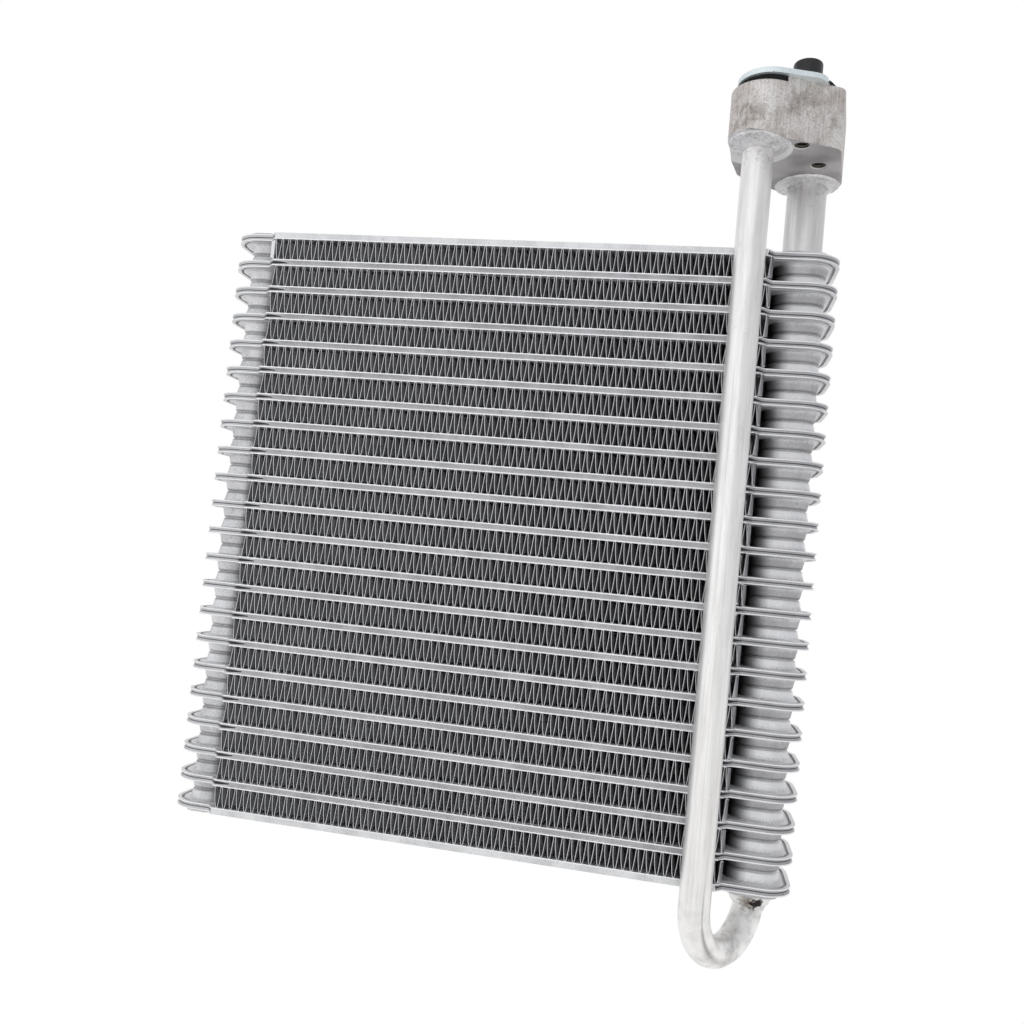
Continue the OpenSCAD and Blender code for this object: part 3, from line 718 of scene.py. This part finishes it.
def lathe(name, centre, profile, seed=0, uneven=0.0, reach=None):
    """Turns a closed profile of (radius, height) in mm round a vertical axis at centre (metres).
    A radius may be a function of the angle, and reach limits every radius in the same way."""
    draw = random.Random(seed)
    shell = bmesh.new()
    points = []
    count = len(profile)
    for s in range(SEGMENTS):
        angle = 2 * math.pi * s / SEGMENTS
        limit = reach(angle) if reach else math.inf
        for radius, height in profile:
            r = min(radius(angle) if callable(radius) else radius, limit)
            z = height + draw.uniform(-1, 1) * uneven
            points.append(shell.verts.new((centre[0] + r * MM * math.cos(angle),
                                           centre[1] + r * MM * math.sin(angle), centre[2] + z * MM)))
    for s in range(SEGMENTS):
        a = s * count
        b = (s + 1) % SEGMENTS * count
        for i in range(count):
            j = (i + 1) % count
            shell.faces.new([points[k] for k in (a + i, b + i, b + j, a + j)])
    bmesh.ops.remove_doubles(shell, verts=shell.verts, dist=0.002 * MM)
    bmesh.ops.recalc_face_normals(shell, faces=shell.faces)
    mesh = bpy.data.meshes.new(name)
    shell.to_mesh(mesh)
    shell.free()
    mesh.shade_smooth()
    mesh.set_sharp_from_angle(angle=math.radians(40))
    return mesh


def reach_from(off, radius):
    """A function of the angle: how far it is from an axis to a circle round a point off the axis."""
    off = Vector(off)

    def distance(angle):
        along = off.dot(Vector((math.cos(angle), math.sin(angle))))
        return along + math.sqrt(along ** 2 - off.length_squared + radius ** 2)

    return distance


braze_metal = brazed_aluminium("torch_braze_filler", "#C2C0C1", "#F4F3F4", grain_mm=1.2, edge_mm=0.2,
                               pits=0.9)
block_face = Vector(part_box("block_fitting")[0]).z
inside = LIQUID_R_MM + HUG_MM
ring = lathe("liquid_braze_ring", (liquid_axis.x, liquid_axis.y, block_face + DISH_DEEP_MM * MM),
             [(inside, -3.5), (6.9, -2.9), (8.2, -2.5), (reach_from(POOL_AT_MM, 10.6), -2.0),
              (reach_from(POOL_AT_MM, 11.6), -1.5), (reach_from(POOL_AT_MM, 11.9), -0.9),
              (reach_from(POOL_AT_MM, 11.4), -0.05), (inside, -0.05)], seed=3, uneven=0.16)
add_piece("liquid_braze_ring", ring, [braze_metal])

suction_low, suction_high = (Vector(c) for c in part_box("suction_pipe"))
suction_axis = (suction_low + suction_high) / 2
inside = SUCTION_R_MM + HUG_MM
ring = lathe("suction_braze_ring", (suction_axis.x, suction_axis.y, block_face),
             [(inside, -1.6), (8.7, -1.6), (9.7, -0.9), (11.2, -0.85), (12.4, -0.95), (13.2, -0.5),
              (13.4, -0.02), (inside, -0.02)], seed=5, uneven=0.1,
             reach=reach_from(BLOCK_END_AT_MM, BLOCK_END_R_MM))
add_piece("suction_braze_ring", ring, [braze_metal])

# The liquid pipe's return leg enters the neck right under the suction pipe.
neck_metal = brazed_aluminium("neck_braze_filler", "#D6D5D4", "#EAE9E8", paint=burnt_flux)
inside = LIQUID_R_MM + NECK_HUG_MM
ring = lathe("neck_braze_ring", (suction_axis.x, suction_axis.y, NECK_RIM_MM * MM),
             [(inside, -2.6), (6.25, -1.7), (6.8, -0.9), (7.45, -0.1), (7.75, 0.9), (7.2, 1.0),
              (6.8, 0.1), (inside, -0.1)], seed=7, uneven=0.05)
add_piece("neck_braze_ring", ring, [neck_metal])

# Port cover. A zinc-plated steel plate and a moulded rubber seal keep dirt out of the ports in
# transit, held by one hexagon socket screw with a black oxide finish. The plating is satin and
# clouded like the brazed sheet, but bluer.

zinc = brazed_aluminium("zinc_plated_steel", "#E4EEF0", "#F3F9FA", grain_mm=1.0, edge_mm=0.25)
finish_node(nodes["cover_plate"], zinc)


def black_finish(name, code, rough, grain_mm):
    """Moulded rubber, which is dull, or oxidised steel, a little glossier: near black, with a grain
    that catches some light. The real grain is finer, so it is drawn at grain_mm."""
    grain_deep_mm, edge_mm = 0.05, 0.2
    material, tree, mm = new_material(name)
    grain = add(tree, "ShaderNodeTexNoise", {"Vector": mm, "Scale": 1 / grain_mm, "Detail": 3.0})
    tone = tint(tree, ramp(tree, grain.outputs[0], 0.4, 0.8), code, "#1C1C1E")
    edge = add(tree, "ShaderNodeBevel", {"Radius": edge_mm * MM}, samples=4)
    bump = add(tree, "ShaderNodeBump", {"Height": grain.outputs[0], "Strength": 0.3,
                                        "Distance": grain_deep_mm * MM, "Normal": edge.outputs[0]})
    shader = add(tree, "ShaderNodeBsdfPrincipled", {"Base Color": tone, "Roughness": rough,
                                                    "Normal": bump.outputs[0]})
    add(tree, "ShaderNodeOutputMaterial", {"Surface": shader.outputs[0]})
    return material


finish_node(nodes["port_seal"], black_finish("moulded_rubber", "#040405", 0.85, 0.8))

screw_low, screw_high = (Vector(c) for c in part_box("cover_screw"))
HEAD_R_MM = (screw_high.x - screw_low.x) / 2 / MM
HEAD_H_MM = 6.4
SHANK_R_MM = 2.4
TIP_MM = 0.4
ROUND_MM = 0.9
ROUND_STEPS = 4
HEX_HALF_MM = 2.5
HEX_DEEP_MM = 2.6
HEX_RIM_MM = 0.2


def hexagon(angle):
    """Radius of the hexagon socket at an angle."""
    return HEX_HALF_MM / math.cos(angle % (math.pi / 3) - math.pi / 6)


def hexagon_rim(angle):
    """The same at the socket's chamfered rim."""
    return hexagon(angle) + HEX_RIM_MM


shank_end = (screw_low.z - screw_high.z) / MM
turns = [math.pi / 2 * k / ROUND_STEPS for k in range(ROUND_STEPS + 1)]
socket = [(0.0, -HEX_DEEP_MM), (hexagon, -HEX_DEEP_MM), (hexagon, -HEX_RIM_MM), (hexagon_rim, 0.0)]
rounded = [(HEAD_R_MM + ROUND_MM * (math.sin(a) - 1), ROUND_MM * (math.cos(a) - 1)) for a in turns]
shank = [(HEAD_R_MM, -HEAD_H_MM), (SHANK_R_MM, -HEAD_H_MM), (SHANK_R_MM, shank_end + TIP_MM),
         (SHANK_R_MM - TIP_MM, shank_end), (0.0, shank_end)]
head_middle = (screw_low + screw_high) / 2
screw = lathe("black_cap_screw", (head_middle.x, head_middle.y, screw_high.z), socket + rounded + shank)
add_piece("black_cap_screw", screw, [black_finish("black_oxide_steel", "#131315", 0.42, 0.5)],
          "cover_screw")

# Studio. A pale floor well below the part and a white backdrop, both plain, with a pale even sky
# and three weak panels that give the metal soft highlights.

FLOOR_DROP = 60 * MM
STAGE_SIZE = 8.0
BACKDROP_Y = 2.6


def stage_plane(name, place, turn, material):
    """A square of floor or backdrop."""
    mesh = bpy.data.meshes.new(name)
    h = STAGE_SIZE / 2
    mesh.from_pydata([(-h, -h, 0), (h, -h, 0), (h, h, 0), (-h, h, 0)], [], [(0, 1, 2, 3)])
    mesh.materials.append(material)
    plane = bpy.data.objects.new(name, mesh)
    plane.location = place
    plane.rotation_euler = turn
    bpy.context.scene.collection.objects.link(plane)
    plane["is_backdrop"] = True


def white_paper():
    """Matt paper that camera, gloss and glass see as plain white, so it keeps only soft shadows."""
    material, tree, mm = new_material("white_paper")
    path = add(tree, "ShaderNodeLightPath")
    seen = path.outputs["Is Camera Ray"]
    for ray in ("Is Glossy Ray", "Is Transmission Ray"):
        seen = calc(tree, "MAXIMUM", seen, path.outputs[ray])
    white = add(tree, "ShaderNodeEmission", {"Color": (1, 1, 1, 1), "Strength": 1.0})
    paper = add(tree, "ShaderNodeBsdfDiffuse", {"Color": colour("#F2F2F2")})
    mixed = add(tree, "ShaderNodeMixShader", {0: seen, 1: paper.outputs[0], 2: white.outputs[0]})
    add(tree, "ShaderNodeOutputMaterial", {"Surface": mixed.outputs[0]})
    return material


paper = white_paper()
stage_plane("backdrop", (0, BACKDROP_Y, 0), (math.radians(90), 0, 0), paper)
stage_plane("floor", (0, 0, cad_low[2] - FLOOR_DROP), (0, 0, 0), paper)

world = bpy.data.worlds.new("studio")
bpy.context.scene.world = world
world.use_nodes = True
world.node_tree.nodes.clear()
sky = add(world.node_tree, "ShaderNodeBackground", {"Color": colour("#E3E4E8"), "Strength": 0.85})
add(world.node_tree, "ShaderNodeOutputWorld", {"Surface": sky.outputs[0]})


def softbox(name, place, size, radiance):
    """A large panel aimed at the core; its power gives the wanted radiance, where 1 is a white
    surface."""
    core_middle = Vector((0, 0, 0.13))
    lamp = bpy.data.lights.new(name, "AREA")
    lamp.shape = "RECTANGLE"
    lamp.size, lamp.size_y = size
    lamp.energy = radiance * math.pi * size[0] * size[1]
    holder = bpy.data.objects.new(name, lamp)
    holder.location = place
    holder.rotation_euler = (core_middle - Vector(place)).to_track_quat("-Z", "Y").to_euler()
    bpy.context.scene.collection.objects.link(holder)


softbox("key", (-0.45, -1.25, 0.55), (1.9, 1.4), 0.46)
softbox("side", (-1.3, -0.35, 0.35), (0.9, 1.1), 0.45)
softbox("top", (0.1, -0.4, 1.6), (1.6, 1.2), 0.4)

# Camera. At the photograph's viewing angle, close enough for its perspective. Its lens is
# LENS_PX long for a frame of FRAME_PX.

LENS_PX = 974
FRAME_PX = 1024
SENSOR_MM = 36
EYE = (0.0857, -0.41205, 0.11652)
camera = bpy.data.cameras.new("camera")
camera.sensor_width = SENSOR_MM
camera.lens = SENSOR_MM * LENS_PX / FRAME_PX
camera.clip_start = 0.01
holder = bpy.data.objects.new("camera", camera)
right = Vector((0.97884, 0.18049, 0.09639))
up = Vector((-0.08482, -0.07077, 0.99388))
ahead = Vector((-0.18620, 0.98103, 0.05396))
turn = Matrix((right, up, -ahead)).transposed().to_4x4()
holder.matrix_world = Matrix.Translation(EYE) @ turn
bpy.context.scene.collection.objects.link(holder)
bpy.context.scene.camera = holder
bpy.context.scene.view_settings.view_transform = "Standard"

low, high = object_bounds()
